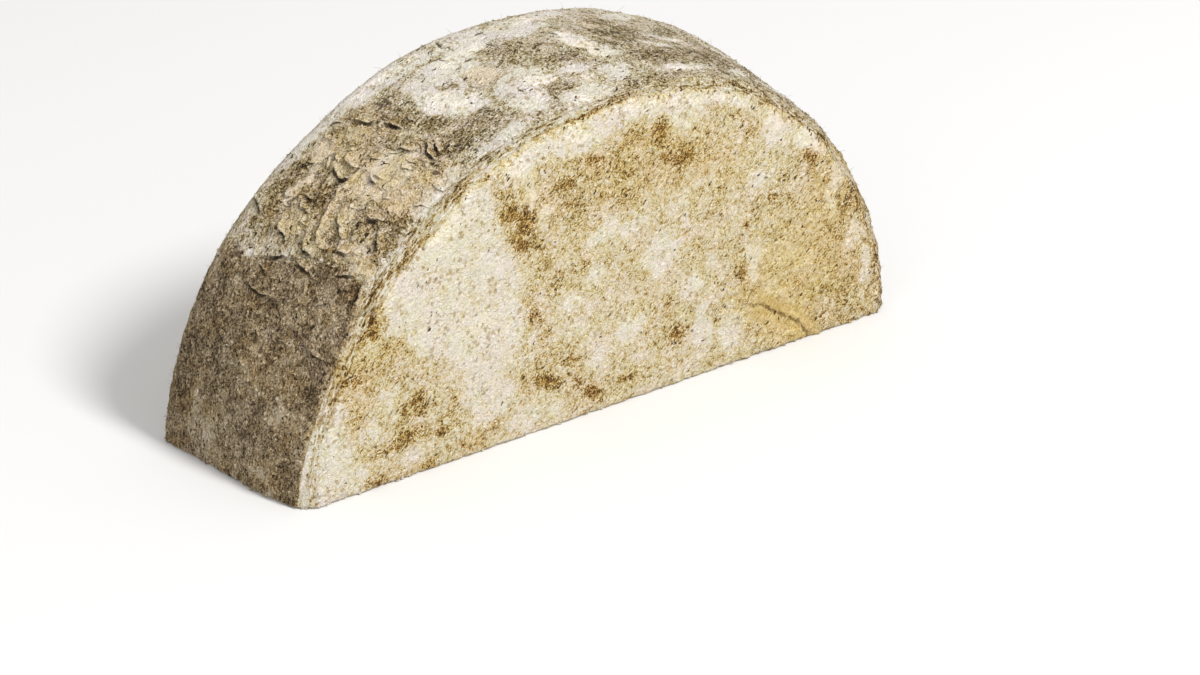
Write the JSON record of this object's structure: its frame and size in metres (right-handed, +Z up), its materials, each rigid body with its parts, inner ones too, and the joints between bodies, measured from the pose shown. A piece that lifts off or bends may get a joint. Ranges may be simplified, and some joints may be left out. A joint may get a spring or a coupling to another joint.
{
  "type": "tomme half wheel",
  "caption": "Half of a low round mountain cheese with a mottled natural rind, standing on its flat cut face of pale yellow paste with small eyes.",
  "frame": {"origin": "centre of the bounding box's underside, on the cut face that the half wheel stands on", "axes": "+X along the cut from one end of the chord to the other, +Y along the wheel's axis from the narrower flat face to the wider one, +Z up from the cut face"},
  "size_m": [0.2122, 0.0576, 0.092],
  "materials": {
    "cheese": "dry mottled rind, cream to grey-brown, with a waxy pale yellow cut face"
  },
  "bodies": {
    "root": {"half_wheel": "cheese"}
  },
  "joints": []
}
